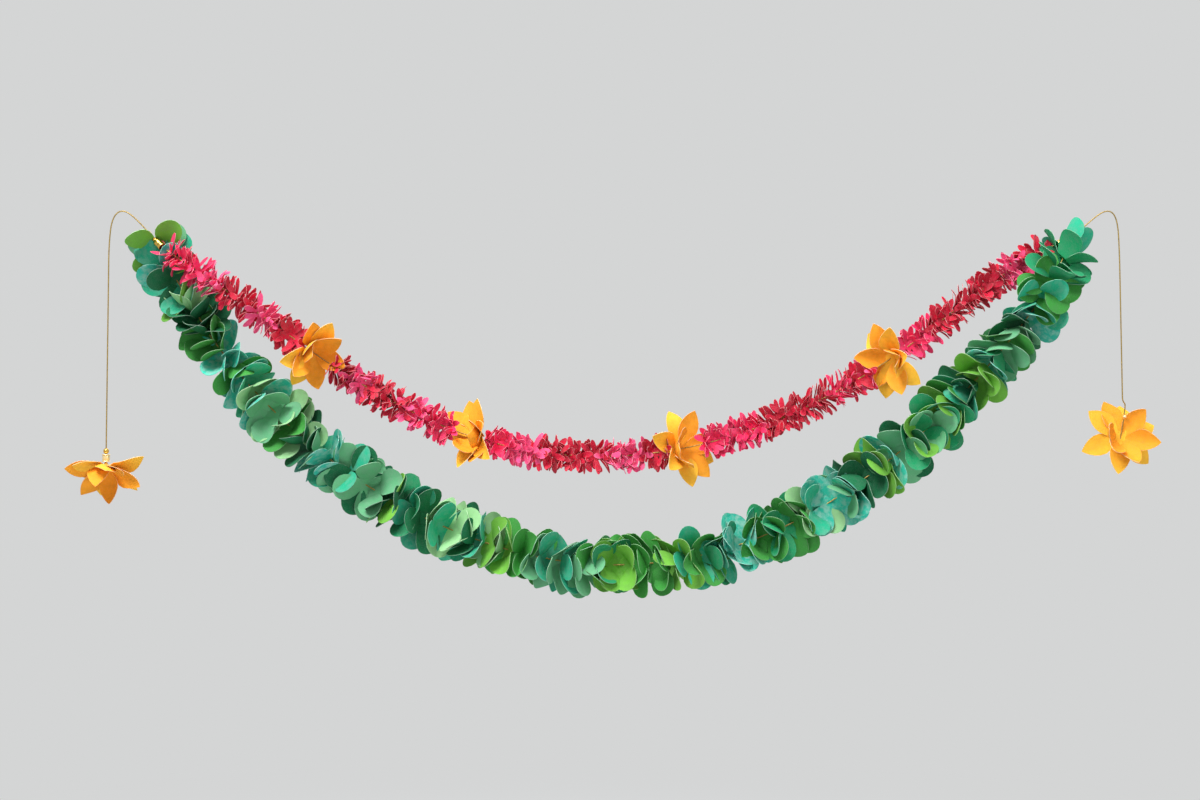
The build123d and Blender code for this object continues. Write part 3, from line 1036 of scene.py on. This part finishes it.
class TORAN_OT_florets(bpy.types.Operator):
    """Threads the pink florets in bunches between the flowers"""
    bl_idname = "toran.florets"
    bl_label = "Florets"

    def execute(self, context):
        settings = context.scene.toran_floret
        draw = random.Random(FLORET_SEED)
        colours = {
            "hot_pink_paper": tuple(settings.hot_pink),
            "rose_pink_paper": tuple(settings.rose_pink),
            "crimson_paper": tuple(settings.crimson),
        }
        finishes = paper_finishes("floret", edge_share=0.25)
        line = CORDS["pink_strand_cord"]
        neck = settings.hub * tan(pi / FLORET_PETALS) * FLORET_NECK_SHARE
        cut = cut_outline(settings, neck, widest=0.62, blunt=0.97, power=0.6)
        flowers = [share * line.length for share in FLOWER_PLACE_SHARES]
        rooms = [settings.open_room if lie.facing < 90 else settings.back_room for lie in FLOWER_LIES]
        both_rooms = settings.open_room + settings.back_room
        starts = [FLORET_LEFT_GAP] + [place + room for place, room in zip(flowers, rooms)]
        ends = [place - both_rooms + room for place, room in zip(flowers, rooms)]
        ends.append(line.length - FLORET_RIGHT_GAP)
        number = 0
        heading = 0.0
        run = 0
        for start, end, count in zip(starts, ends, FLORET_COUNTS):
            pitch = (end - start) / (count * settings.per_node - 1)
            for bunch in range(BUNCHES_PER_STRETCH):
                number += 1
                node = f"pink_bunch_{number:02d}"
                choices = [SLOT_OF_NODE[node]] * FLORET_OWN_COLOUR_SHARES + list(colours)
                bm = paper_mesh()
                first = count * bunch // BUNCHES_PER_STRETCH * settings.per_node
                last = count * (bunch + 1) // BUNCHES_PER_STRETCH * settings.per_node
                for index in range(first, last):
                    if run == 0:
                        run = draw.randint(*FLORET_RUN_COUNTS)
                        colour = colours[draw.choice(choices)]
                    run -= 1
                    distance = start + pitch * index
                    fold = radians(draw.uniform(*FLORET_FOLDS))
                    heading = next_heading(draw, heading, FLORET_HEADING_STEP)
                    facing = facing_of(settings, heading)
                    for beside_flower, gap, aside in (
                        (start != starts[0], distance - start, FLORET_ASIDE),
                        (end != ends[-1], end - distance, pi - FLORET_ASIDE),
                    ):
                        near = 1 - gap / FLORET_CLEARING
                        if beside_flower and near > 0:
                            facing += near * (aside - facing)
                            fold += near * (settings.clearing_fold - fold)
                    bends = [strayed_bend(draw, settings, fold, FLORET_STRAYS) for _ in range(FLORET_PETALS)]
                    turn = draw.uniform(0, 2 * pi)
                    sway = radians(stray(draw, FLORET_SWAY_STRAY))
                    matrix = threading_place(line, distance, turn, facing, sway)
                    made = rosette(bm, matrix, settings.hub, FLORET_GRID, cut, bends)
                    paint(bm, made, colour, draw.uniform(*FLORET_TONES), FLORET_WASH)
                paper_piece(f"pink_florets_{number:02d}", bm, node, settings.paper, finishes)
        return {"FINISHED"}


class TORAN_OT_flowers(bpy.types.Operator):
    """Threads the yellow flowers on the pink strand and on the hanging cords"""
    bl_idname = "toran.flowers"
    bl_label = "Flowers"

    def execute(self, context):
        settings = context.scene.toran_flower
        draw = random.Random(FLOWER_SEED)
        finishes = paper_finishes("flower", edge_share=0.3)
        neck = settings.hub * tan(pi / FLOWER_PETALS)
        cut = cut_outline(settings, neck, widest=0.45, blunt=1.0, power=0.95)
        # The outer layer has the marigold of the paper, and the inner layer the deeper orange of painted
        # shade
        colours = (tuple(settings.marigold), tuple(settings.inner_shade_orange))
        folds = (settings.outer_fold, settings.inner_fold)

        pink = CORDS["pink_strand_cord"]
        left = CORDS["left_tail_cord"]
        right = CORDS["right_tail_cord"]
        left_hub = left.nearest(box_centre("left_stop_bead")) - LEFT_HUB_OVER_STOP_BEAD
        right_hub = right.nearest(box_centre("right_middle_bead")) - RIGHT_HUB_OVER_MIDDLE_BEAD
        on_strand = ("left_petals", "right_petals")
        hanging = ("upper_petals", "lower_petals")
        flowers = [
            (f"flower_{number}", pink, share * pink.length, on_strand, lie)
            for number, (share, lie) in enumerate(zip(FLOWER_PLACE_SHARES, FLOWER_LIES), 1)]
        flowers.append(("left_tail_flower", left, left_hub, hanging, LEFT_TAIL_LIE))
        flowers.append(("right_tail_flower", right, right_hub, hanging, RIGHT_TAIL_LIE))
        for name, line, hub_place, layers, lie in flowers:
            front = -copysign(radians(lie.front_fold), 90 - lie.facing)
            for layer, layer_name in enumerate(layers):
                fold = folds[layer] + radians(lie.more_fold)
                turn = radians(lie.turn) + layer * pi / FLOWER_PETALS
                bends = []
                for petal in range(FLOWER_PETALS):
                    front_share = sin(turn + 2 * pi * petal / FLOWER_PETALS)
                    petal_fold = fold + front * front_share
                    bends.append(strayed_bend(draw, settings, petal_fold, LAYER_STRAYS[layer]))
                facing = radians(lie.facing + stray(draw, FLOWER_FACING_STRAY))
                place = threading_place(line, hub_place + LAYER_OFFSETS[layer], turn, facing)
                bm = paper_mesh()
                made = rosette(bm, place, settings.hub, FLOWER_GRID, cut, bends)
                paint(bm, made, colours[layer], tone=1.0, wash=0.0)
                node = f"{name}_{layer_name}"
                paper_piece(f"{node}_paper", bm, node, settings.paper, finishes)
        return {"FINISHED"}


class TORAN_OT_hanging(bpy.types.Operator):
    bl_idname = "toran.hanging"
    bl_label = "Hanging cords"

    def execute(self, context):
        objects = bpy.data.objects
        carried = {
            "left": ("round_bead", "barrel_bead", "small_bead", "stop_bead"),
            "right": ("upper_bead", "middle_bead", "lower_bead"),
        }
        for side, beads in carried.items():
            pieces = [objects[f"{side}_{bead}_turned"] for bead in beads]
            pieces += [objects[f"{side}_tail_flower_{layer}_petals_paper"] for layer in ("upper", "lower")]
        return {"FINISHED"}


class TORAN_PT_panel(bpy.types.Panel):
    """Lists the steps that build the toran"""
    bl_idname = "TORAN_PT_panel"
    bl_label = "Paper Toran"
    bl_space_type = "VIEW_3D"
    bl_region_type = "UI"
    bl_category = "Paper Toran"

    def draw(self, context):
        for operator in OPERATORS:
            self.layout.operator(operator.bl_idname)
        for group in SETTINGS:
            settings = getattr(context.scene, group)
            box = self.layout.box()
            for name in settings.__annotations__:
                box.prop(settings, name)


SETTINGS = {
    "toran_cord": CordSettings,
    "toran_metal": MetalSettings,
    "toran_leaf": LeafSettings,
    "toran_floret": FloretSettings,
    "toran_flower": FlowerSettings,
    "toran_stage": StageSettings,
}
OPERATORS = (
    TORAN_OT_stage, TORAN_OT_cords, TORAN_OT_findings, TORAN_OT_leaves,
    TORAN_OT_florets, TORAN_OT_flowers, TORAN_OT_hanging,
)


def register():
    for name, group in SETTINGS.items():
        bpy.utils.register_class(group)
        setattr(bpy.types.Scene, name, PointerProperty(type=group))
    for operator in OPERATORS:
        bpy.utils.register_class(operator)
    bpy.utils.register_class(TORAN_PT_panel)


def unregister():
    bpy.utils.unregister_class(TORAN_PT_panel)
    for operator in reversed(OPERATORS):
        bpy.utils.unregister_class(operator)
    for name, group in reversed(SETTINGS.items()):
        delattr(bpy.types.Scene, name)
        bpy.utils.unregister_class(group)


def main():
    register()
    bpy.context.scene.view_settings.view_transform = "Standard"
    bpy.ops.toran.stage()
    bpy.ops.toran.cords()
    bpy.ops.toran.findings()
    bpy.ops.toran.leaves()
    bpy.ops.toran.florets()
    bpy.ops.toran.flowers()
    bpy.ops.toran.hanging()


if __name__ == "__main__":
    main()
